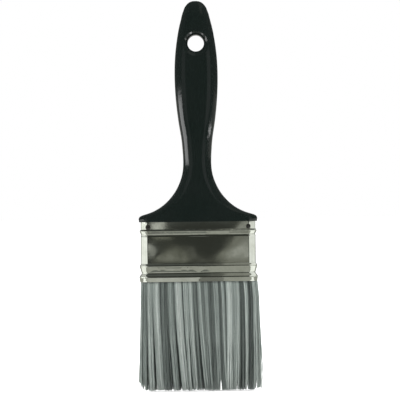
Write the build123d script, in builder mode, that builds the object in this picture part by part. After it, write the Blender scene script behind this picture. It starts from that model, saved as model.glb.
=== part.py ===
from build123d import *
import os

os.makedirs("parts", exist_ok=True)

# Flat 3 inch paint brush, hanging by the hole in its handle: +Z runs up the
# handle, X across the brush, the broad faces look along -Y (front) and +Y.
# The origin is the centre of the hanging hole. All sizes in millimetres.

# ---------------------------------------------------------------- main levels
HOLE_ABOVE_TIPS = 223.9     # hanging hole above the trimmed filament tips
TIP_Z = -HOLE_ABOVE_TIPS    # trimmed ends of the filaments
MOUTH_Z = TIP_Z + 70.4      # bottom lip of the ferrule
SHOULDER_Z = TIP_Z + 108.9  # ferrule top, underside of the handle's shoulder

# -------------------------------------------------------------------- ferrule
FERRULE_W = 74.0            # across X, over the plain panel
FERRULE_T = 16.0            # across Y, over the plain panel
FERRULE_R = 4.6             # corner radius in plan
SHEET = 0.4                 # sheet thickness
BEAD_UPPER = 0.75           # height of the upper bead above the panel
BEAD_LOWER = 0.90           # height of the lower bead
GROOVE = 0.30               # depth of the crimp above the lip
CRIMP = 0.20                # depth of the crimp below the upper bead
LIP = 1.15                  # how far the flared lip stands out
SEAM_GAP = 0.2              # butt seam down one narrow side

# ---------------------------------------------------------------------- nails
NAIL_X = 32.3               # nails either side of the middle
NAIL_Z = TIP_Z + 105.6
NAIL_HEAD_R = 1.5
NAIL_SEAT_R = 1.65
NAIL_SHANK_R = 0.75
NAIL_LEN = 6.2
HEAD_UP = 0.35              # head height above the sheet
HEAD_DOWN = 0.18            # head sunk into its seat in the sheet

# --------------------------------------------------------------------- handle
HOLE_R = 5.3                # hanging hole
RIM_R = 3.9                 # rounding of the hole's rim
TENON_W = 72.5
TENON_T = 14.5
TENON_R = 4.0
TENON_LEN = 13.0

# level above the tips, half width, full thickness, corner radius
HANDLE = [
    (108.9, 38.25, 18.0, 5.4),
    (110.2, 38.25, 18.0, 5.4),
    (111.3, 38.10, 17.9, 5.4),
    (112.1, 37.75, 17.75, 5.5),
    (112.9, 36.70, 17.6, 5.6),
    (113.8, 34.20, 17.4, 5.8),
    (114.9, 30.70, 17.15, 6.0),
    (116.4, 27.35, 16.85, 6.2),
    (118.4, 23.95, 16.45, 6.4),
    (121.2, 20.44, 15.95, 6.6),
    (125.0, 16.88, 15.35, 6.5),
    (128.9, 14.10, 14.8, 6.4),
    (132.8, 12.10, 14.3, 6.2),
    (136.7, 10.55, 13.9, 6.1),
    (141.4, 9.45, 13.6, 6.0),
    (148.4, 9.03, 13.4, 6.0),
    (155.4, 9.38, 13.5, 6.0),
    (162.4, 10.02, 13.8, 6.1),
    (170.4, 11.30, 14.3, 6.3),
    (179.4, 12.50, 14.9, 6.5),
    (189.4, 13.42, 15.4, 6.7),
    (197.4, 13.83, 15.6, 6.8),
    (204.4, 13.92, 15.6, 6.8),
    (212.4, 13.66, 15.2, 6.7),
    (219.9, 13.02, 14.6, 6.4),
    (227.4, 11.98, 13.9, 6.1),
    (234.9, 10.55, 13.1, 5.8),
    (240.4, 9.15, 12.3, 5.5),
    (243.2, 8.45, 11.7, 5.3),
    (245.4, 7.62, 10.8, 4.9),
    (247.1, 6.98, 9.8, 4.5),
    (248.4, 6.10, 8.5, 3.9),
    (249.5, 5.18, 7.1, 3.3),
    (250.4, 4.05, 5.4, 2.5),
    (251.0, 2.75, 3.6, 1.7),
    (251.3, 1.30, 1.7, 0.8),
]

# ------------------------------------------------------------------ filaments
ROOT_Z = TIP_Z + 89.4       # cut roots of the filaments, in the epoxy
WAIST_Z = TIP_Z + 36.0      # where the rows have closed up
ROW_X_ROOT = 30.6           # half length of a row at its root
ROW_X_MOUTH = 30.8
ROW_X_SPREAD = 31.1
ROW_X_WAIST = 31.8
ROW_X_TIP = 32.6
END_X_ROOT = 36.2           # outer face of the end tufts at the root
END_X_MOUTH = 37.2          # where they spread over the flared lip
END_X_SPREAD = 38.2         # just below the lip
END_X_WAIST = 39.1
END_X_TIP = 40.1
BUNDLE_T_ROOT = 14.4        # over the whole bundle, in the ferrule
BUNDLE_T_MOUTH = 16.0
BUNDLE_T_SPREAD = 17.0
BUNDLE_T_WAIST = 17.6
BUNDLE_T_TIP = 17.0
MIDDLE_ROW_T = 2.8          # middle row in the ferrule
ROW_GAP = 0.10              # between rows once they have closed up
SPACER_SLOT = 2.6           # between two rows in the ferrule
SPACER_T = 2.4
SPACER_X = 30.4             # half length of a spacer
SPACER_LEN = 13.4
EPOXY_W = 73.0
EPOXY_T = 15.0
EPOXY_R = 4.2
EPOXY_UP = 4.0              # epoxy above the roots
EPOXY_DOWN = 2.0            # epoxy between the rows, down on to the spacers


# =============================================================== handle
with BuildPart() as handle:
    for level, half, thick, corner in HANDLE:
        with BuildSketch(Plane.XY.offset(TIP_Z + level)):
            RectangleRounded(2 * half, thick, corner)
    loft()
    # tenon that goes down into the ferrule
    with BuildSketch(Plane.XY.offset(SHOULDER_Z)):
        RectangleRounded(TENON_W, TENON_T, TENON_R)
    extrude(amount=-TENON_LEN)
    chamfer(handle.faces().sort_by(Axis.Z)[0].edges(), 0.8)
    # hanging hole with a well rounded rim on both faces
    half_y = 7.1
    with BuildSketch(Plane.XY) as rim:
        with BuildLine():
            Polyline(
                (0, -15), (HOLE_R + RIM_R, -15), (HOLE_R + RIM_R, -half_y)
            )
            RadiusArc((HOLE_R + RIM_R, -half_y), (HOLE_R, -half_y + RIM_R), RIM_R)
            Line((HOLE_R, -half_y + RIM_R), (HOLE_R, half_y - RIM_R))
            RadiusArc((HOLE_R, half_y - RIM_R), (HOLE_R + RIM_R, half_y), RIM_R)
            Polyline(
                (HOLE_R + RIM_R, half_y), (HOLE_R + RIM_R, 15), (0, 15), (0, -15)
            )
        make_face()
    revolve(axis=Axis.Y, revolution_arc=360, mode=Mode.SUBTRACT)
    # pilot holes for the nails, from both broad faces
    with BuildSketch(Plane.XZ.offset(TENON_T / 2 + 0.5)):
        with Locations((NAIL_X, NAIL_Z), (-NAIL_X, NAIL_Z)):
            Circle(NAIL_SHANK_R)
    extrude(amount=-NAIL_LEN - 0.5, mode=Mode.SUBTRACT)
    with BuildSketch(Plane.XZ.offset(-TENON_T / 2 - 0.5)):
        with Locations((NAIL_X, NAIL_Z), (-NAIL_X, NAIL_Z)):
            Circle(NAIL_SHANK_R)
    extrude(amount=NAIL_LEN + 0.5, mode=Mode.SUBTRACT)

handle.part.label = "handle"
export_step(handle.part, "parts/handle.step")

# =============================================================== ferrule
# The wall's section, as (out from the panel's face, level above the tips).
# Each bead has one short steep flank above and a long flank below, which runs
# on into a shallow crimp before the wall comes back out.
top_level = 108.9
lower = [
    (0.74, 70.4),
    (0.90, 71.4),
    (1.03, 72.4),
    (LIP, 73.35),
    (1.01, 73.95),
    (0.45, 74.7),
    (-0.12, 75.4),
    (-GROOVE, 76.0),
    (-0.10, 76.9),
    (0.38, 78.5),
    (0.78, 79.8),
    (BEAD_LOWER, 80.45),
    (0.72, 81.1),
    (0.22, 81.7),
    (0.0, 82.2),
]
upper = [
    (0.0, 99.3),
    (-0.10, 99.8),
    (-CRIMP, 100.6),
    (0.02, 101.3),
    (0.44, 102.2),
    (0.71, 102.75),
    (BEAD_UPPER, 103.05),
    (0.60, 103.4),
    (0.22, 103.8),
    (0.0, 104.2),
]


def lift(points, shift):
    """Section points measured from the corner's own axis."""
    return [(FERRULE_R + u + shift, TIP_Z + z) for u, z in points]


out_lower, out_upper = lift(lower, 0), lift(upper, 0)
in_lower, in_upper = lift(lower, -SHEET), lift(upper, -SHEET)
top = TIP_Z + top_level

with BuildSketch(Plane.XY) as wall:
    with BuildLine():
        Spline(*out_lower, tangents=[(0.17, 1), (0, 1)])
        Line(out_lower[-1], out_upper[0])
        Spline(*out_upper, tangents=[(0, 1), (0, 1)])
        Polyline(out_upper[-1], (FERRULE_R, top), (FERRULE_R - SHEET, top), in_upper[-1])
        Spline(*in_upper, tangents=[(0, 1), (0, 1)])
        Line(in_upper[0], in_lower[-1])
        Spline(*in_lower, tangents=[(0.17, 1), (0, 1)])
        Line(in_lower[0], out_lower[0])
    make_face()

corner_x = FERRULE_W / 2 - FERRULE_R
corner_y = FERRULE_T / 2 - FERRULE_R
facing_front = Plane(origin=(corner_x, -corner_y, 0), x_dir=(0, -1, 0), z_dir=(-1, 0, 0))
facing_side = Plane(origin=(corner_x, -corner_y, 0), x_dir=(1, 0, 0), z_dir=(0, -1, 0))

with BuildPart() as ferrule:
    # half of the broad wall
    with BuildSketch(facing_front):
        add(wall.sketch_local)
    extrude(amount=corner_x)
    # the rounded corner: the same section turned about the corner's axis
    with BuildSketch(facing_side):
        add(wall.sketch_local)
    revolve(axis=Axis((corner_x, -corner_y, 0), (0, 0, 1)), revolution_arc=-90)
    # half of the narrow wall
    with BuildSketch(facing_side):
        add(wall.sketch_local)
    extrude(amount=-corner_y)
    mirror(about=Plane.XZ)
    mirror(about=Plane.YZ)
    # butt seam down the middle of one narrow side
    with BuildSketch(Plane.XY.offset(MOUTH_Z - 1)):
        with Locations((FERRULE_W / 2, 0)):
            Rectangle(4, SEAM_GAP)
    extrude(amount=SHOULDER_Z - MOUTH_Z + 2, mode=Mode.SUBTRACT)
    # nail holes, each with a shallow seat for the head
    with BuildSketch(Plane.XZ.offset(FERRULE_T)):
        with Locations((NAIL_X, NAIL_Z), (-NAIL_X, NAIL_Z)):
            Circle(NAIL_SHANK_R)
    extrude(amount=-2 * FERRULE_T, mode=Mode.SUBTRACT)
    for side in (1, -1):
        with BuildSketch(Plane.XZ.offset(side * (FERRULE_T / 2 - HEAD_DOWN))):
            with Locations((NAIL_X, NAIL_Z), (-NAIL_X, NAIL_Z)):
                Circle(NAIL_SEAT_R)
        extrude(amount=side * 1.0, mode=Mode.SUBTRACT)

ferrule.part.label = "ferrule"
export_step(ferrule.part, "parts/ferrule.step")

# =============================================================== nails
# Small domed nails through the sheet into the tenon, two on each broad face.
with BuildPart() as nail_front_left:
    spot = Plane(origin=(-NAIL_X, -FERRULE_T / 2, NAIL_Z), x_dir=(1, 0, 0), z_dir=(0, 0, 1))
    with BuildSketch(spot):
        with BuildLine():
            ThreePointArc((0, -HEAD_UP), (0.62 * NAIL_HEAD_R, -0.78 * HEAD_UP), (NAIL_HEAD_R, 0))
            Polyline(
                (NAIL_HEAD_R, 0), (NAIL_HEAD_R, HEAD_DOWN), (NAIL_SHANK_R, HEAD_DOWN),
                (NAIL_SHANK_R, NAIL_LEN - 1.4), (0, NAIL_LEN), (0, -HEAD_UP),
            )
        make_face()
    revolve(axis=Axis((-NAIL_X, 0, NAIL_Z), (0, 1, 0)), revolution_arc=360)

nail_front_left.part.label = "nail_front_left"
export_step(nail_front_left.part, "parts/nail_front_left.step")

with BuildPart() as nail_front_right:
    add(nail_front_left.part)
    mirror(about=Plane.YZ, mode=Mode.REPLACE)

nail_front_right.part.label = "nail_front_right"
export_step(nail_front_right.part, "parts/nail_front_right.step")

with BuildPart() as nail_back_left:
    add(nail_front_left.part)
    mirror(about=Plane.XZ, mode=Mode.REPLACE)

nail_back_left.part.label = "nail_back_left"
export_step(nail_back_left.part, "parts/nail_back_left.step")

with BuildPart() as nail_back_right:
    add(nail_front_right.part)
    mirror(about=Plane.XZ, mode=Mode.REPLACE)

nail_back_right.part.label = "nail_back_right"
export_step(nail_back_right.part, "parts/nail_back_right.step")

# =============================================================== epoxy plug
# Poured round the roots, with ribs that run down between the rows.
gap_mid = MIDDLE_ROW_T / 2 + SPACER_SLOT / 2

with BuildPart() as epoxy_plug:
    with BuildSketch(Plane.XY.offset(ROOT_Z)):
        RectangleRounded(EPOXY_W, EPOXY_T, EPOXY_R)
    extrude(amount=EPOXY_UP)
    with BuildSketch(Plane.XY.offset(ROOT_Z)):
        with Locations((0, gap_mid), (0, -gap_mid)):
            Rectangle(2 * SPACER_X, SPACER_T)
    extrude(amount=-EPOXY_DOWN)

epoxy_plug.part.label = "epoxy_plug"
export_step(epoxy_plug.part, "parts/epoxy_plug.step")

# =============================================================== spacer plugs
# Strips between the rows of filament: they hold the bundle tight in the
# ferrule and leave the hollow that takes up paint.
with BuildPart() as spacer_plug_front:
    with BuildSketch(Plane.XY.offset(ROOT_Z - EPOXY_DOWN)):
        with Locations((0, -gap_mid)):
            Rectangle(2 * SPACER_X, SPACER_T)
    extrude(amount=-SPACER_LEN)
    chamfer(spacer_plug_front.faces().sort_by(Axis.Z)[0].edges().filter_by(Axis.X), 0.5)

spacer_plug_front.part.label = "spacer_plug_front"
export_step(spacer_plug_front.part, "parts/spacer_plug_front.step")

with BuildPart() as spacer_plug_back:
    add(spacer_plug_front.part)
    mirror(about=Plane.XZ, mode=Mode.REPLACE)

spacer_plug_back.part.label = "spacer_plug_back"
export_step(spacer_plug_back.part, "parts/spacer_plug_back.step")

# =============================================================== filaments
# level, bundle thickness, row half length, end tuft's outer face, corner
# radius, middle row's thickness, gap between rows
LEVELS = [
    (ROOT_Z, BUNDLE_T_ROOT, ROW_X_ROOT, END_X_ROOT, 4.0, MIDDLE_ROW_T, SPACER_SLOT),
    (MOUTH_Z + 3.4, BUNDLE_T_ROOT, ROW_X_ROOT, END_X_ROOT, 4.0, MIDDLE_ROW_T, SPACER_SLOT),
    (MOUTH_Z, BUNDLE_T_MOUTH, ROW_X_MOUTH, END_X_MOUTH, 4.6, 3.4, 2.0),
    (MOUTH_Z - 5.0, BUNDLE_T_SPREAD, ROW_X_SPREAD, END_X_SPREAD, 5.2, 4.2, 1.2),
    (WAIST_Z, BUNDLE_T_WAIST, ROW_X_WAIST, END_X_WAIST, 5.4, BUNDLE_T_WAIST / 3 - ROW_GAP, ROW_GAP),
    (TIP_Z, BUNDLE_T_TIP, ROW_X_TIP, END_X_TIP, 5.4, BUNDLE_T_TIP / 3 - ROW_GAP, ROW_GAP),
]

with BuildPart() as filaments_front_row:
    for level, bundle, row_x, end_x, corner, middle_t, gap in LEVELS:
        outer_y = bundle / 2
        inner_y = middle_t / 2 + gap
        with BuildSketch(Plane.XY.offset(level)):
            with Locations((0, -(outer_y + inner_y) / 2)):
                Rectangle(2 * row_x, outer_y - inner_y)
    loft(ruled=True)

filaments_front_row.part.label = "filaments_front_row"
export_step(filaments_front_row.part, "parts/filaments_front_row.step")

with BuildPart() as filaments_back_row:
    add(filaments_front_row.part)
    mirror(about=Plane.XZ, mode=Mode.REPLACE)

filaments_back_row.part.label = "filaments_back_row"
export_step(filaments_back_row.part, "parts/filaments_back_row.step")

with BuildPart() as filaments_middle_row:
    for level, bundle, row_x, end_x, corner, middle_t, gap in LEVELS:
        with BuildSketch(Plane.XY.offset(level)):
            Rectangle(2 * row_x, middle_t)
    loft(ruled=True)

filaments_middle_row.part.label = "filaments_middle_row"
export_step(filaments_middle_row.part, "parts/filaments_middle_row.step")

with BuildPart() as filaments_right_end:
    for level, bundle, row_x, end_x, corner, middle_t, gap in LEVELS:
        near, far, half = row_x + ROW_GAP, end_x, bundle / 2
        with BuildSketch(Plane.XY.offset(level)):
            with BuildLine():
                Polyline((far - corner, half), (near, half), (near, -half), (far - corner, -half))
                RadiusArc((far - corner, -half), (far, -half + corner), -corner)
                Line((far, -half + corner), (far, half - corner))
                RadiusArc((far, half - corner), (far - corner, half), -corner)
            make_face()
    loft(ruled=True)

filaments_right_end.part.label = "filaments_right_end"
export_step(filaments_right_end.part, "parts/filaments_right_end.step")

with BuildPart() as filaments_left_end:
    add(filaments_right_end.part)
    mirror(about=Plane.YZ, mode=Mode.REPLACE)

filaments_left_end.part.label = "filaments_left_end"
export_step(filaments_left_end.part, "parts/filaments_left_end.step")
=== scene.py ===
import bpy
import math
import numpy as np
from mathutils import Matrix, Vector


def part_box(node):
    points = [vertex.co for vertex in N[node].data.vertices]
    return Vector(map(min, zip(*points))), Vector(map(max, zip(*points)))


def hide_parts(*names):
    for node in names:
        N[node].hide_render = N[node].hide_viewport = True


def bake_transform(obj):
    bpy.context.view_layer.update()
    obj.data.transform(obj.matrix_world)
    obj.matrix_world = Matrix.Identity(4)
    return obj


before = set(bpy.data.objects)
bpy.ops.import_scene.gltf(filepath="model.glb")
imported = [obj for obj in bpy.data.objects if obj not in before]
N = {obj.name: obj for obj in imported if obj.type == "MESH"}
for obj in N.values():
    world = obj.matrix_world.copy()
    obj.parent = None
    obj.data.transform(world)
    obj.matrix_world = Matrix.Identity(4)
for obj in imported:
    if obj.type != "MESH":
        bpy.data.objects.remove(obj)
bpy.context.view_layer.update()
scene = bpy.context.scene

MM = 0.001

LO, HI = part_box("filaments_front_row")
TIP = LO.z                                  # trimmed ends of the filaments
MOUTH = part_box("ferrule")[0].z              # bottom lip of the ferrule
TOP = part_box("handle")[1].z


# ------------------------------------------------------------------ materials
def material(name, colour, rough, metallic=0.0, ior=1.5):
    m = bpy.data.materials.new(name)
    m.use_nodes = True
    p = m.node_tree.nodes["Principled BSDF"]
    p.inputs["Base Color"].default_value = (*colour, 1)
    p.inputs["Roughness"].default_value = rough
    p.inputs["Metallic"].default_value = metallic
    p.inputs["IOR"].default_value = ior
    return m, m.node_tree, p


def node(tree, kind, **values):
    n = tree.nodes.new(kind)
    for k, v in values.items():
        if k in n.inputs:
            n.inputs[k].default_value = v
        else:
            setattr(n, k, v)
    return n


def position(tree, scale=(1, 1, 1)):
    """Object coordinates, which are the frame's metres, stretched per axis."""
    tc = node(tree, "ShaderNodeTexCoord")
    mp = node(tree, "ShaderNodeMapping")
    mp.inputs["Scale"].default_value = scale
    tree.links.new(tc.outputs["Object"], mp.inputs["Vector"])
    return mp.outputs["Vector"]


def noise(tree, vector, scale, detail=3.0, rough=0.5):
    n = node(tree, "ShaderNodeTexNoise")
    n.inputs["Scale"].default_value = scale
    n.inputs["Detail"].default_value = detail
    n.inputs["Roughness"].default_value = rough
    tree.links.new(vector, n.inputs["Vector"])
    return n.outputs["Fac"]


def remap(tree, value, a, b, c, d):
    n = node(tree, "ShaderNodeMapRange")
    n.inputs["From Min"].default_value = a
    n.inputs["From Max"].default_value = b
    n.inputs["To Min"].default_value = c
    n.inputs["To Max"].default_value = d
    tree.links.new(value, n.inputs["Value"])
    return n.outputs["Result"]


def mix_colour(tree, factor, a, b):
    n = node(tree, "ShaderNodeMix", data_type="RGBA")
    if isinstance(factor, float):
        n.inputs["Factor"].default_value = factor
    else:
        tree.links.new(factor, n.inputs["Factor"])
    for key, value in (("A", a), ("B", b)):
        socket = [s for s in n.inputs if s.name == key and s.type == "RGBA"][0]
        if isinstance(value, tuple):
            socket.default_value = (*value, 1)
        else:
            tree.links.new(value, socket)
    return [s for s in n.outputs if s.type == "RGBA"][0]


def bump(tree, height, distance, normal=None, strength=1.0):
    n = node(tree, "ShaderNodeBump")
    n.inputs["Strength"].default_value = strength
    n.inputs["Distance"].default_value = distance
    tree.links.new(height, n.inputs["Height"])
    if normal is not None:
        tree.links.new(normal, n.inputs["Normal"])
    return n.outputs["Normal"]


def assign(obj, m):
    obj.data.materials.clear()
    obj.data.materials.append(m)


# glossy black moulded plastic: faint sink and orange peel, dulled in patches
m, t, p = material("black_moulded_plastic", (0.010, 0.014, 0.0125), 0.2, ior=1.47)
at = position(t)
fine = noise(t, at, 900, 2, 0.5)
broad = noise(t, at, 45, 3, 0.55)
t.links.new(remap(t, broad, 0.3, 0.7, 0.09, 0.15), p.inputs["Roughness"])
t.links.new(mix_colour(t, broad, (0.0044, 0.0080, 0.0068), (0.0076, 0.0104, 0.0094)), p.inputs["Base Color"])
n1 = bump(t, fine, 0.000003)
n2 = bump(t, broad, 0.00006, n1)
t.links.new(n2, p.inputs["Normal"])
assign(N["handle"], m)

# bright nickel plate on thin sheet that isn't quite flat
m, t, p = material("nickel_plated_sheet", (0.60, 0.60, 0.56), 0.08, 1.0)
at = position(t)
waves = noise(t, position(t, (1.0, 1.0, 1.3)), 38, 1.0, 0.4)
dull = noise(t, at, 140, 4, 0.6)
brushed = noise(t, position(t, (14, 14, 300)), 6, 3, 0.6)
t.links.new(remap(t, dull, 0.3, 0.75, 0.03, 0.075), p.inputs["Roughness"])
t.links.new(mix_colour(t, remap(t, dull, 0.35, 0.8, 0, 1), (0.66, 0.69, 0.617), (0.54, 0.565, 0.487)), p.inputs["Base Color"])
n1 = bump(t, brushed, 0.0000004)
n2 = bump(t, waves, 0.00004, n1)
t.links.new(n2, p.inputs["Normal"])
assign(N["ferrule"], m)

# nails: near-black metal, far darker than the plate, which is painted shade for the dark nail heads; dulled in spots
# where they were hammered
m, t, p = material("dull_nail_steel", (0.06, 0.06, 0.055), 0.4, 1.0)
spots = noise(t, position(t), 1400, 3, 0.6)
t.links.new(remap(t, spots, 0.3, 0.7, 0.3, 0.55), p.inputs["Roughness"])
t.links.new(mix_colour(t, spots, (0.035, 0.035, 0.032), (0.11, 0.11, 0.10)), p.inputs["Base Color"])
t.links.new(bump(t, spots, 0.00006), p.inputs["Normal"])
for name in ("nail_front_left", "nail_front_right", "nail_back_left", "nail_back_right"):
    assign(N[name], m)

# amber epoxy and sawn wood, inside the ferrule
m, t, p = material("cured_epoxy", (0.35, 0.22, 0.09), 0.25)
blot = noise(t, position(t), 180, 4, 0.6)
t.links.new(mix_colour(t, blot, (0.26, 0.15, 0.05), (0.42, 0.28, 0.12)), p.inputs["Base Color"])
t.links.new(remap(t, blot, 0.3, 0.7, 0.18, 0.4), p.inputs["Roughness"])
t.links.new(bump(t, blot, 0.0002), p.inputs["Normal"])
assign(N["epoxy_plug"], m)

m, t, p = material("sawn_wood_strip", (0.50, 0.36, 0.21), 0.7)
grain = noise(t, position(t, (1, 12, 12)), 130, 5, 0.65)
t.links.new(mix_colour(t, remap(t, grain, 0.3, 0.7, 0, 1), (0.36, 0.23, 0.11), (0.60, 0.45, 0.28)), p.inputs["Base Color"])
t.links.new(remap(t, grain, 0.3, 0.7, 0.6, 0.85), p.inputs["Roughness"])
t.links.new(bump(t, grain, 0.0002), p.inputs["Normal"])
for name in ("spacer_plug_front", "spacer_plug_back"):
    assign(N[name], m)


# ------------------------------------------------------------------ filaments
# Colour and shine come from the filament's own UV: U is the filament's dyed tone with painted shade for the gaps
# between locks,
# V runs from its root to its tip. So one small map holds every filament.
m, t, p = material("mixed_synthetic_filament", (0.2, 0.22, 0.21), 0.42)
uv = node(t, "ShaderNodeUVMap", uv_map="OFBake")
split = node(t, "ShaderNodeSeparateXYZ")
t.links.new(uv.outputs["UV"], split.inputs["Vector"])
ramp = node(t, "ShaderNodeValToRGB")
ramp.color_ramp.interpolation = "LINEAR"
stops = [
    (0.00, (0.011, 0.014, 0.013)),
    (0.15, (0.027, 0.034, 0.031)),
    (0.32, (0.084, 0.101, 0.092)),
    (0.50, (0.176, 0.206, 0.190)),
    (0.68, (0.300, 0.342, 0.318)),
    (0.85, (0.440, 0.485, 0.455)),
    (1.00, (0.600, 0.640, 0.610)),
]
while len(ramp.color_ramp.elements) < len(stops):
    ramp.color_ramp.elements.new(0.5)
for e, (pos, col) in zip(ramp.color_ramp.elements, stops):
    e.position = pos
    e.color = (*col, 1)
# dark filaments are made darker towards the tips: painted shade for the gaps that open between locks there
painted_tip_shade = node(t, "ShaderNodeMath", operation="MULTIPLY")
t.links.new(remap(t, split.outputs["Y"], 0.25, 0.8, 0.0, 1.0), painted_tip_shade.inputs[0])
t.links.new(remap(t, split.outputs["X"], 0.25, 0.50, 0.045, 0.0), painted_tip_shade.inputs[1])
dye_minus_tip_shade = node(t, "ShaderNodeMath", operation="SUBTRACT")
t.links.new(split.outputs["X"], dye_minus_tip_shade.inputs[0])
t.links.new(painted_tip_shade.outputs[0], dye_minus_tip_shade.inputs[1])
# every filament is made lighter from near the mouth to halfway down and beyond: painted light along the length, not
# the filaments' own colour
dye_with_painted_lift = node(t, "ShaderNodeMath", operation="ADD")
t.links.new(dye_minus_tip_shade.outputs[0], dye_with_painted_lift.inputs[0])
t.links.new(remap(t, split.outputs["Y"], 0.20, 0.50, 0.0, 0.040), dye_with_painted_lift.inputs[1])
t.links.new(dye_with_painted_lift.outputs[0], ramp.inputs["Fac"])
tip_light = remap(t, split.outputs["Y"], 0.88, 1.0, 0.0, 0.18)
streak_at = node(t, "ShaderNodeMapping")
streak_at.inputs["Scale"].default_value = (60, 7, 1)
t.links.new(uv.outputs["UV"], streak_at.inputs["Vector"])
streak = noise(t, streak_at.outputs["Vector"], 1.0, 3, 0.6)
shade = node(t, "ShaderNodeMix", data_type="RGBA", blend_type="MULTIPLY")
shade.inputs["Factor"].default_value = 1.0
a_in = [s for s in shade.inputs if s.name == "A" and s.type == "RGBA"][0]
b_in = [s for s in shade.inputs if s.name == "B" and s.type == "RGBA"][0]
t.links.new(ramp.outputs["Color"], a_in)
grey = node(t, "ShaderNodeCombineColor")
val = remap(t, streak, 0.3, 0.7, 0.82, 1.15)
for ch in ("Red", "Green", "Blue"):
    t.links.new(val, grey.inputs[ch])
t.links.new(grey.outputs["Color"], b_in)
shaded = [s for s in shade.outputs if s.type == "RGBA"][0]
t.links.new(mix_colour(t, tip_light, shaded, (0.42, 0.44, 0.43)), p.inputs["Base Color"])
t.links.new(remap(t, streak, 0.3, 0.7, 0.34, 0.52), p.inputs["Roughness"])
FILAMENT = m

rng = np.random.default_rng(20240)

HALF_W, HALF_T = 36.0, 7.0       # half sizes of the bundle inside the ferrule, mm
FREE = (MOUTH - TIP) / MM        # free length of the filaments, mm
BURIED = 9.0                     # how far the drawn filaments run up into the ferrule


def swell_x(along):
    """How much wider the bundle is, this far past the mouth (mm)."""
    return np.interp(along, [-9, -3.6, 0, 2.3, 30, 50, FREE], [36.0, 36.1, 37.1, 38.1, 38.9, 39.7, 40.4]) / HALF_W


def swell_y(along):
    return np.interp(along, [-9, -3.6, 0, 3.5, 36, FREE], [7.0, 7.0, 7.75, 8.25, 8.65, 8.35]) / HALF_T


def locks(rows_y, low, high, jitter, seed):
    """Centres of the locks: rows across the brush with uneven spacing."""
    r = np.random.default_rng(seed)
    out = []
    for y in rows_y:
        x = -HALF_W - high + r.uniform(0, low)
        while x < HALF_W + high:
            step = r.uniform(low, high)
            out.append((x + step / 2, y + r.uniform(-jitter, jitter), step / 2))
            x += step
    return np.array(out)


SHIFT = 0.6                      # the bundle hangs a little to one side, mm

# Locks of the front face, left to right: place at the mouth and at the tips (mm across), and tone (0 black, 1 white).
# The tones follow how bright each lock looks under the light: the darkest entries, in the gaps between locks, are
# painted shade; the others mix the filaments' own dyed tones with the light on them.
FRONT = [
    (-37.3, -38.6, 0.66), (-34.9, -35.4, 0.45), (-32.2, -30.8, 0.76), (-27.7, -25.0, 0.81), (-22.8, -20.4, 0.29),
    (-18.8, -15.1, 0.61), (-13.5, -9.3, 0.84), (-8.7, -5.1, 0.55), (-5.2, -2.3, 0.75), (-2.7, 0.9, 0.52),
    (-0.2, 4.2, 0.67), (4.3, 7.2, 0.42), (7.2, 9.2, 0.36), (10.5, 12.4, 0.72), (14.6, 15.8, 0.55), (19.8, 19.0, 0.86),
    (24.3, 23.2, 0.74), (27.8, 26.9, 0.24), (30.4, 29.8, 0.73), (33.0, 32.6, 0.32), (35.6, 35.8, 0.76), (38.4, 40.6, 0.68),
]


def front_locks():
    mouth, tip = swell_x(2.3), swell_x(FREE)
    x = np.array([(a - SHIFT) / mouth for a, _, _ in FRONT])
    lean = np.array([b - SHIFT - 0.6 - c * tip for (_, b, _), c in zip(FRONT, x)])
    half = np.gradient(x) / 2
    return x, lean, half, np.array([tone for _, _, tone in FRONT])


FX, FLEAN, FHALF, FRONT_TONE_AND_SHADE = front_locks()
REST = locks([-1.9, 2.1, 5.9], 3.0, 6.0, 0.5, 11)
BIG = np.concatenate([np.stack([FX, np.full(len(FX), -6.0), FHALF], 1), REST])
SMALL = locks(np.arange(-6.6, 6.7, 1.65), 1.0, 2.2, 0.35, 12)
big_rng = np.random.default_rng(13)
near = np.exp(-((REST[:, 0:1] - FX[None, :]) / 7.0) ** 2)
rest_lean = (near * FLEAN).sum(1) / near.sum(1) + big_rng.normal(0, 0.45, len(REST))
rest_tone = 0.64 + big_rng.normal(0, 0.12, len(REST)) - 0.28 * (big_rng.random(len(REST)) < 0.15)
BIG_LEAN = np.stack([np.concatenate([FLEAN, rest_lean]), big_rng.normal(0, 0.3, len(BIG))], 1)
BIG_TONE_AND_SHADE = np.concatenate([FRONT_TONE_AND_SHADE, rest_tone])
BIG_SHORT = np.abs(big_rng.normal(0, 0.22, len(BIG)))
SMALL_SHORT = np.abs(np.random.default_rng(14).normal(0, 0.26, len(SMALL)))
SMALL_LEAN = np.random.default_rng(16).normal(0, 0.28, (len(SMALL), 2))
SMALL_SHADE = np.random.default_rng(15).normal(0, 0.060, len(SMALL))
# slits between the trimmed ends, right through the bundle: place, size (mm)
SLITS = [(-12.0, 0.25), (-2.3, 0.35), (13.6, 0.65), (23.8, 0.4), (30.4, 0.55), (36.4, 0.6)]


def nearest(points, centres):
    d = (points[:, None, 0] - centres[None, :, 0]) ** 2 + 1.2 * (points[:, None, 1] - centres[None, :, 1]) ** 2
    return d.argmin(1)


def smooth(x):
    x = np.clip(x, 0, 1)
    return x * x * (3 - 2 * x)


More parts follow.
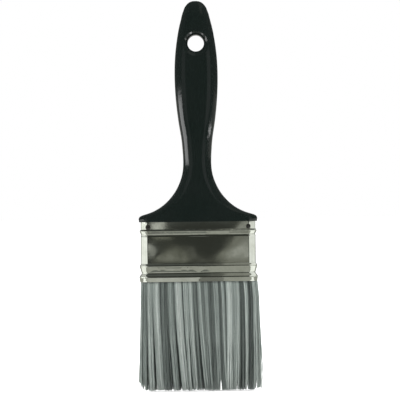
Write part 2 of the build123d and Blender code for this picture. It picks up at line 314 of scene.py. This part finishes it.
def tuft(name, x_range, y_range, count, replaced, rounded=0):
    """One mesh of many tapered filaments that fills the given span of the mouth."""
    # an even but irregular spread: jittered rows
    w, h = x_range[1] - x_range[0], y_range[1] - y_range[0]
    nx = max(1, int(round(math.sqrt(count * w / h))))
    ny = max(1, int(round(count / nx)))
    gx, gy = np.meshgrid((np.arange(nx) + 0.5) / nx, (np.arange(ny) + 0.5) / ny)
    base = np.stack([gx.ravel(), gy.ravel()], 1)
    base += rng.uniform(-0.5, 0.5, base.shape) / np.array([nx, ny]) * 0.9
    base = base * np.array([w, h]) + np.array([x_range[0], y_range[0]])
    if rounded:
        # keep clear of the ferrule's rounded corners
        cx, cy = HALF_W - rounded, HALF_T - rounded
        dx, dy = np.abs(base[:, 0]) - cx, np.abs(base[:, 1]) - cy
        outside = (dx > 0) & (dy > 0) & (np.hypot(dx, dy) > rounded)
        base = base[~outside]
    n = len(base)
    big = nearest(base, BIG)
    small = nearest(base, SMALL)

    # levels along the filament: s from 0 at the mouth to 1 at the tip
    rings = 10
    short = BIG_SHORT[big] + SMALL_SHORT[small] + rng.exponential(0.18, n)
    left = np.clip((-base[:, 0] - 33.6) / 1.6, 0, 1)
    right = np.clip((base[:, 0] - 31.5) / 4.0, 0, 1)
    short = short + left * 6.4 * rng.uniform(0.75, 1.05, n) + right * 1.4
    stray = rng.random(n) < 0.010
    short = np.where(stray, short + rng.uniform(0, 5, n), short)
    short = np.clip(short, 0.0, 9.0)
    length = FREE - short
    u = np.linspace(0, 1, rings) ** 0.92
    along = -BURIED + u[None, :] * (length + BURIED)[:, None]      # mm past the mouth
    s = np.clip(along / FREE, 0, 1)

    wide, deep = swell_x(along), swell_y(along)
    px, py = base[:, 0:1] * wide, base[:, 1:2] * deep
    bx, by = BIG[big, 0:1] * wide, BIG[big, 1:2] * deep
    sx, sy = SMALL[small, 0:1] * wide, SMALL[small, 1:2] * deep
    k1 = 0.24 * smooth(s / 1.0)
    k2 = 0.36 * smooth(s / 0.85)
    own = rng.uniform(0.6, 1.1, n)[:, None]
    px = px + (bx - px) * k1 * own + (sx - px) * k2 * own
    py = py + (by - py) * k1 * own + (sy - py) * k2 * own
    px = px + (BIG_LEAN[big, 0:1] + SMALL_LEAN[small, 0:1]) * s ** 1.5
    py = py + (BIG_LEAN[big, 1:2] + SMALL_LEAN[small, 1:2]) * s ** 1.5
    px = px + (SHIFT + 0.6 * s) * smooth((along + 0.5) / 3.0)
    for place, gap in SLITS:
        away = px - place
        px = px + np.sign(away) * gap * np.exp(-np.abs(away) / 1.1) * smooth((s - 0.89) / 0.11)
    phase = rng.uniform(0, 2 * np.pi, (n, 2))
    wave = rng.uniform(18, 40, n)[:, None]
    amp = rng.uniform(0.02, 0.16, n)[:, None] * smooth(s * 1.4)
    px = px + amp * np.sin(along / wave * 2 * np.pi + phase[:, 0:1])
    py = py + amp * np.sin(along / wave * 2 * np.pi + phase[:, 1:2])
    wild = np.where(stray, rng.normal(0, 1.2, n), rng.normal(0, 0.14, n))[:, None]
    wild_y = np.where(stray, rng.normal(0, 0.8, n), rng.normal(0, 0.12, n))[:, None]
    px = px + wild * s ** 2
    py = py + wild_y * s ** 2
    limit_x = HALF_W * wide + 0.9 * smooth(along / 3.0)
    limit_y = HALF_T * deep + 0.3
    px = np.clip(px, -limit_x, limit_x)
    py = np.clip(py, -limit_y, limit_y)
    z = MOUTH - along * MM

    path = np.stack([px * MM, py * MM, z], 2)                       # n, rings, 3
    thick = rng.uniform(0.125, 0.175, n)[:, None]
    taper = 1 - 0.45 * s - 0.35 * smooth((s - 0.93) / 0.07)
    radius = thick * taper * MM

    sides = 5
    turn = rng.uniform(0, 2 * np.pi, n)
    ang = turn[:, None] + np.arange(sides)[None, :] * 2 * np.pi / sides
    ring = np.stack([np.cos(ang), np.sin(ang), np.zeros_like(ang)], 2)   # n, sides, 3
    verts = path[:, :, None, :] + ring[:, None, :, :] * radius[:, :, None, None]
    verts = verts.reshape(n, rings * sides, 3)
    tipp = path[:, -1] + np.array([0, 0, -0.25 * MM])
    rootp = path[:, 0]
    allv = np.concatenate([verts, tipp[:, None, :], rootp[:, None, :]], 1)
    per = rings * sides + 2

    quads, tris = [], []
    for r in range(rings - 1):
        for k in range(sides):
            a, b = r * sides + k, r * sides + (k + 1) % sides
            quads.append((a, a + sides, b + sides, b))
    last = (rings - 1) * sides
    for k in range(sides):
        tris.append((last + k, per - 2, last + (k + 1) % sides))
        tris.append((k, (k + 1) % sides, per - 1))
    quads, tris = np.array(quads), np.array(tris)
    off = np.arange(n)[:, None, None] * per
    faces_q = (quads[None] + off).reshape(-1, 4)
    faces_t = (tris[None] + off).reshape(-1, 3)

    mesh = bpy.data.meshes.new(name)
    loops = np.concatenate([faces_q.ravel(), faces_t.ravel()])
    mesh.vertices.add(n * per)
    mesh.vertices.foreach_set("co", allv.reshape(-1).astype(np.float32))
    mesh.loops.add(len(loops))
    mesh.loops.foreach_set("vertex_index", loops.astype(np.int32))
    starts = np.concatenate([np.arange(len(faces_q)) * 4, len(faces_q) * 4 + np.arange(len(faces_t)) * 3])
    totals = np.concatenate([np.full(len(faces_q), 4), np.full(len(faces_t), 3)])
    mesh.polygons.add(len(starts))
    mesh.polygons.foreach_set("loop_start", starts.astype(np.int32))
    mesh.polygons.foreach_set("loop_total", totals.astype(np.int32))
    mesh.polygons.foreach_set("use_smooth", np.ones(len(starts), bool))

    # dyed tone of each filament, biased by its lock, so that the bundle is streaky; filaments towards the edges of a
    # light lock are made darker, which is painted shade for the gaps between locks
    off = np.clip(np.abs(base[:, 0] - BIG[big, 0]) / BIG[big, 2], 0, 1)
    dye_and_shade = 0.58 + 0.94 * (BIG_TONE_AND_SHADE[big] - 0.58) + 0.018 - 0.27 * off ** 2 * (BIG_TONE_AND_SHADE[big] > 0.48) * (np.abs(base[:, 0]) < 33.8) + SMALL_SHADE[small] + rng.normal(0, 0.085, n)
    dye_and_shade = np.clip(dye_and_shade, 0.004, 0.996)
    vert_u = np.repeat(dye_and_shade, per)
    vert_v = np.concatenate([np.repeat(s, sides, axis=1), np.ones((n, 1)), np.zeros((n, 1))], 1).ravel()
    layer = mesh.uv_layers.new(name="OFBake")
    uvs = np.stack([vert_u[loops], vert_v[loops] * 0.99 + 0.005], 1)
    layer.data.foreach_set("uv", uvs.astype(np.float32).ravel())
    mesh.update()
    mesh.validate()
    ob = bpy.data.objects.new(name, mesh)
    scene.collection.objects.link(ob)
    mesh.materials.append(FILAMENT)
    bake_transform(ob)
    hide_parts(replaced)
    return ob


tuft("filament_strands_front_row", (-31.2, 31.2), (-HALF_T, -2.45), 1930, "filaments_front_row")
tuft("filament_strands_middle_row", (-31.2, 31.2), (-2.45, 2.45), 1930, "filaments_middle_row")
tuft("filament_strands_back_row", (-31.2, 31.2), (2.45, HALF_T), 1930, "filaments_back_row")
tuft("filament_strands_left_end", (-HALF_W, -31.2), (-HALF_T, HALF_T), 560, "filaments_left_end", 3.8)
tuft("filament_strands_right_end", (31.2, HALF_W), (-HALF_T, HALF_T), 560, "filaments_right_end", 3.8)


# ------------------------------------------------------------------ the studio
MID = Vector((0, 0, (TIP + TOP) / 2))
EYE = TIP + 122.8 * MM                      # the camera's level


FLOOR_GLOW = 0.62


def studio_floor():
    """A pale floor, lit from within a little so that it fades into the backdrop."""
    mesh = bpy.data.meshes.new("studio_floor")
    s, z = 14.0, TIP - 0.0006
    mesh.from_pydata([(-s, -0.5, z), (s, -0.5, z), (s, s, z), (-s, s, z)], [], [(0, 1, 2, 3)])
    ob = bpy.data.objects.new("studio_floor", mesh)
    scene.collection.objects.link(ob)
    fm, ft, fp = material("pale_floor", (0.9, 0.9, 0.9), 0.9)
    glow = node(ft, "ShaderNodeEmission", Strength=FLOOR_GLOW)
    mirrored = node(ft, "ShaderNodeEmission", Strength=0.42)
    mirrored.inputs["Color"].default_value = (1.0, 1.0, 0.93, 1)
    seen = ft.nodes.new("ShaderNodeLightPath")
    both = ft.nodes.new("ShaderNodeAddShader")
    pick = ft.nodes.new("ShaderNodeMixShader")
    pick_g = ft.nodes.new("ShaderNodeMixShader")
    outp = [n for n in ft.nodes if n.type == "OUTPUT_MATERIAL"][0]
    ft.links.new(fp.outputs["BSDF"], both.inputs[0])
    ft.links.new(glow.outputs[0], both.inputs[1])
    ft.links.new(seen.outputs["Is Glossy Ray"], pick_g.inputs["Fac"])
    ft.links.new(fp.outputs["BSDF"], pick_g.inputs[1])
    ft.links.new(mirrored.outputs[0], pick_g.inputs[2])
    ft.links.new(seen.outputs["Is Camera Ray"], pick.inputs["Fac"])
    ft.links.new(pick_g.outputs[0], pick.inputs[1])
    ft.links.new(both.outputs[0], pick.inputs[2])
    ft.links.new(pick.outputs[0], outp.inputs["Surface"])
    mesh.materials.append(fm)
    return ob


studio_floor()


def area(name, at, aim, size_x, size_y, power, glossy=False, colour=(1, 1, 1)):
    data = bpy.data.lights.new(name, "AREA")
    data.shape = "RECTANGLE"
    data.size, data.size_y = size_x, size_y
    data.energy = power
    data.color = colour
    ob = bpy.data.objects.new(name, data)
    scene.collection.objects.link(ob)
    ob.location = at
    ob.rotation_euler = (Vector(aim) - Vector(at)).to_track_quat("-Z", "Y").to_euler()
    ob.visible_camera = False
    ob.visible_glossy = glossy
    return ob


area("key_top_left", (-0.9, -1.0, 1.1), MID, 0.7, 0.7, 20)
area("fill_right", (1.3, -0.8, 0.35), MID, 0.6, 0.9, 11)
area("back_left", (-1.0, 1.3, 0.7), MID, 0.8, 0.8, 13)
area("back_right", (1.1, 1.2, 0.3), MID, 0.8, 0.8, 9)


def card(name, points, strength, colour=(1, 1, 1), uneven=0.12):
    """A reflector card: it shows only in glossy surfaces."""
    mesh = bpy.data.meshes.new(name)
    mesh.from_pydata([Vector(q) for q in points], [], [tuple(range(len(points)))] if len(points[0]) == 3 else [])
    return finish_card(name, mesh, strength, colour, uneven)


def finish_card(name, mesh, strength, colour, uneven):
    ob = bpy.data.objects.new(name, mesh)
    scene.collection.objects.link(ob)
    cm = bpy.data.materials.new(name)
    cm.use_nodes = True
    ct = cm.node_tree
    for n in list(ct.nodes):
        ct.nodes.remove(n)
    outp = ct.nodes.new("ShaderNodeOutputMaterial")
    em = ct.nodes.new("ShaderNodeEmission")
    em.inputs["Color"].default_value = (*colour, 1)
    blot = noise(ct, position(ct), 45, 2, 0.5)
    ct.links.new(remap(ct, blot, 0.3, 0.7, strength * (1 - uneven), strength * (1 + uneven)), em.inputs["Strength"])
    ct.links.new(em.outputs[0], outp.inputs["Surface"])
    mesh.materials.append(cm)
    ob.visible_camera = ob.visible_diffuse = ob.visible_shadow = False
    ob.visible_transmission = ob.visible_volume_scatter = False
    return ob


def wing(name, side, start, stop, radius, low, high, strength, centre=(0.0, 0.0), colour=(1, 1, 1)):
    """A curved card that stands round one side; angles are from the front."""
    count = 24
    verts, faces = [], []
    for k in range(count + 1):
        a = math.radians(start + (stop - start) * k / count)
        x, y = centre[0] + side * radius * math.sin(a), centre[1] - radius * math.cos(a)
        verts += [(x, y, TIP + low * MM), (x, y, TIP + high * MM)]
    for k in range(count):
        faces.append((2 * k, 2 * k + 2, 2 * k + 3, 2 * k + 1))
    mesh = bpy.data.meshes.new(name)
    mesh.from_pydata(verts, [], faces)
    return finish_card(name, mesh, strength, colour, 0.10)


CARD_Y = 0.5                                # how far in front of the brush


def front_card(name, outline, strength, colour=(1.0, 1.0, 0.96), nearer=0):
    """Outline in mm across the ferrule and above the tips, as it shows in a flat sheet."""
    away = CARD_Y - 0.004 * nearer
    grow = away / CAMERA_AWAY
    eye = (EYE - TIP) / MM
    pts = [((x * (1 + grow)) * MM, -away, TIP + (z + (z - eye) * grow) * MM) for x, z in outline]
    return card(name, pts, strength, colour)


LENS = 220
PX = 0.646 * MM                             # one pixel of a 400 pixel frame, at the brush's middle
CAMERA_AWAY = 400 * PX * LENS / 36

# white boards close to both narrow sides, for the ferrule's rounded edges
wing("left_wing", -1, 22, 118, 0.19, 72, 108, 1.25)
wing("left_wing_back", -1, 118, 150, 0.19, 72, 108, 0.5)
wing("right_wing", 1, 21, 118, 0.19, 72, 108, 1.05)
wing("right_wing_back", 1, 118, 150, 0.19, 72, 108, 0.5)
# soft boxes for the handle's highlights and for the rim of its hole
for k, (low, high, start) in enumerate([(15, 70, 42), (70, 112, 47), (112, 160, 52), (160, 176, 45)]):
    wing("left_strip_%d" % k, -1, start, 98, 0.52, low, high, 4.6)
wing("right_low", 1, 52, 92, 0.50, 64, 93, 7.0)
wing("left_soft", -1, 6, 40, 0.54, 125, 330, 0.25)
wing("right_soft", 1, 6, 40, 0.54, 125, 330, 0.34)


def board(name, corners, strength, colour=(1, 1, 1)):
    """Corners in mm, with the height above the tips."""
    return card(name, [(x * MM, y * MM, TIP + z * MM) for x, y, z in corners], strength, colour)


# shelves level with the shoulder, for the rounded ends of the beads
board("right_shelf", [(48, 60, 111), (160, 60, 111), (160, -160, 111), (48, -160, 111)], 1.1)
board("left_shelf", [(-160, 60, 111), (-48, 60, 111), (-48, -160, 111), (-160, -160, 111)], 0.7)
# bright papers on the shelves, for the rim of the hanging hole
board("rim_right", [(44, -115, 111.6), (74, -115, 111.6), (74, -38, 111.6), (44, -38, 111.6)], 8.0)
board("rim_right_under", [(42, -118, 111.2), (76, -118, 111.2), (76, -35, 111.2), (42, -35, 111.2)], 0.5)
board("rim_left", [(-106, -127, 111.6), (-82, -127, 111.6), (-82, -48, 111.6), (-106, -48, 111.6)], 6.0)
# white papers on the floor at the sides, for the ends of the beads and the lip
board("floor_end_right", [(88, 90, 0.2), (280, 90, 0.2), (280, -198, 0.2), (88, -198, 0.2)], 1.35)
board("floor_end_left", [(-280, 90, 0.2), (-102, 90, 0.2), (-102, -198, 0.2), (-280, -198, 0.2)], 1.35)
# a board overhead on the right, which fills the upper flanks of the beads there
board("overhead_right", [(21, 60, 520), (260, 60, 520), (260, -640, 520), (21, -640, 520)], 0.30, (1.0, 1.0, 0.92))
board("overhead_middle", [(9, 60, 520), (21, 60, 520), (21, -640, 520), (9, -640, 520)], 0.13, (1.0, 1.0, 0.92))
# papers on the floor in front, seen in the lip
board("floor_left", [(-90, -200, 0.2), (1, -200, 0.2), (1, -420, 0.2), (-90, -420, 0.2)], 0.56, (1.0, 1.0, 0.96))
board("floor_middle", [(1, -200, 0.2), (18, -200, 0.2), (18, -420, 0.2), (1, -420, 0.2)], 0.20, (1.0, 1.0, 0.93))

# darker papers close in front, seen in the lower side of the upper bead
board("floor_bead_end", [(-44, -62, 0.2), (-24, -62, 0.2), (-24, -99, 0.2), (-44, -99, 0.2)], 0.17, (1.0, 1.0, 0.96))
board("floor_bead_left", [(-24, -62, 0.2), (7, -62, 0.2), (7, -99, 0.2), (-24, -99, 0.2)], 0.22, (0.97, 1.0, 0.95))
board("floor_bead_far", [(-44, -139, 0.2), (7, -139, 0.2), (7, -158, 0.2), (-44, -158, 0.2)], 0.18, (0.97, 1.0, 0.95))
board("floor_bead_right", [(22, -62, 0.2), (37, -62, 0.2), (37, -108, 0.2), (22, -108, 0.2)], 0.27, (1.0, 1.0, 0.92))

# what the ferrule's flat front mirrors
front_card("front_right", [(27.6, 110), (21.8, 103.0), (23.0, 99.6), (20.9, 95.6), (17.6, 92.4), (13.2, 88.1), (9.6, 84.2), (18.5, 80.4), (34, 80), (34, 110)], 0.215, (1.0, 1.0, 0.88))
front_card("front_right_bright", [(19.2, 85.2), (17.4, 86.6), (21.0, 90.8), (24.2, 92.2), (28.0, 94.4), (34, 95.6), (34, 84.8)], 0.40, (1.0, 1.0, 0.94), 1)
front_card("front_right_top", [(28.6, 99.6), (34, 99.6), (34, 95.4), (27.6, 94.2)], 0.27, (1.0, 1.0, 0.94), 1)
front_card("front_right_head", [(24.6, 105.2), (28.0, 109.6), (34, 109.6), (34, 104.0), (24.2, 103.6)], 0.36, (1.0, 1.0, 0.93), 1)
front_card("front_left_patch", [(-32.6, 95.2), (-29.8, 94.2), (-27.5, 91.9), (-27.4, 89.8), (-28.6, 87.2), (-31.0, 86.1), (-33.2, 85.9)], 0.42)
front_card("front_left_streak", [(-30.6, 99.8), (-14.6, 100.2), (-18.2, 97.8), (-27.6, 97.2)], 0.185, (1.0, 1.0, 0.84))
front_card("front_low_left", [(-29.0, 83.8), (-26.6, 86.6), (-23.4, 88.6), (-19.0, 91.4), (-13.8, 92.8), (-10.0, 91.0), (-8.2, 88.0), (-7.0, 84.6), (-10.0, 83.0), (-31.0, 82.8)], 0.165, (1.0, 1.0, 0.86))
front_card("front_low_left_core", [(-28.0, 84.2), (-25.4, 86.8), (-18.6, 88.6), (-16.0, 86.6), (-8.4, 86.0), (-8.0, 84.2)], 0.225, (1.0, 1.0, 0.88), 1)
front_card("front_middle", [(-12.0, 92.0), (-3.5, 93.5), (-1.5, 88.0), (4.0, 85.2), (18.0, 84.4), (18.0, 83.0), (-7.0, 83.4)], 0.105, (1.0, 1.0, 0.90))
front_card("front_top_left", [(-30.2, 108.9), (-21.2, 108.9), (-22.2, 103.6), (-30.2, 103.6)], 0.76)
front_card("front_top_mid", [(-21.0, 110), (24.0, 110), (20.0, 107.2), (-20.0, 106.6)], 0.075, (0.95, 1.0, 0.95))

world = bpy.data.worlds.new("plain_studio")
scene.world = world
world.use_nodes = True
wt = world.node_tree
for n in list(wt.nodes):
    wt.nodes.remove(n)
out = wt.nodes.new("ShaderNodeOutputWorld")
path = wt.nodes.new("ShaderNodeLightPath")


def background(colour):
    n = wt.nodes.new("ShaderNodeBackground")
    n.inputs["Strength"].default_value = 1.0
    if isinstance(colour, tuple):
        n.inputs["Color"].default_value = (*colour, 1)
    else:
        wt.links.new(colour, n.inputs["Color"])
    return n


# reflections: dark in front and above, a little lighter at the sides and back
tc = wt.nodes.new("ShaderNodeTexCoord")
sep = wt.nodes.new("ShaderNodeSeparateXYZ")
wt.links.new(tc.outputs["Generated"], sep.inputs["Vector"])
side = remap(wt, sep.outputs["Y"], -0.80, -0.30, 0.0, 1.0)
glossy_env = mix_colour(wt, side, (0.040, 0.042, 0.037), (0.10, 0.105, 0.10))

soft_bg = background((0.78, 0.79, 0.78))
glossy_bg = background(glossy_env)
seen_bg = background((1.0, 1.0, 1.0))
mix_a = wt.nodes.new("ShaderNodeMixShader")
mix_b = wt.nodes.new("ShaderNodeMixShader")
wt.links.new(path.outputs["Is Glossy Ray"], mix_a.inputs["Fac"])
wt.links.new(soft_bg.outputs[0], mix_a.inputs[1])
wt.links.new(glossy_bg.outputs[0], mix_a.inputs[2])
wt.links.new(path.outputs["Is Camera Ray"], mix_b.inputs["Fac"])
wt.links.new(mix_a.outputs[0], mix_b.inputs[1])
wt.links.new(seen_bg.outputs[0], mix_b.inputs[2])
wt.links.new(mix_b.outputs[0], out.inputs["Surface"])

scene.view_settings.view_transform = "Standard"
scene.view_settings.look = "None"
scene.view_settings.exposure = 0.0
scene.view_settings.gamma = 1.0

# ------------------------------------------------------------------ the camera
cam_data = bpy.data.cameras.new("camera")
cam = bpy.data.objects.new("camera", cam_data)
scene.collection.objects.link(cam)
cam_data.sensor_width = 36
cam_data.lens = LENS
cam.location = (2.3 * PX, -CAMERA_AWAY, EYE)
cam.rotation_euler = (math.radians(90), math.radians(0), 0)
cam.rotation_euler.rotate_axis("Z", math.radians(-0.73))
cam_data.clip_start, cam_data.clip_end = 0.01, 30
scene.camera = cam
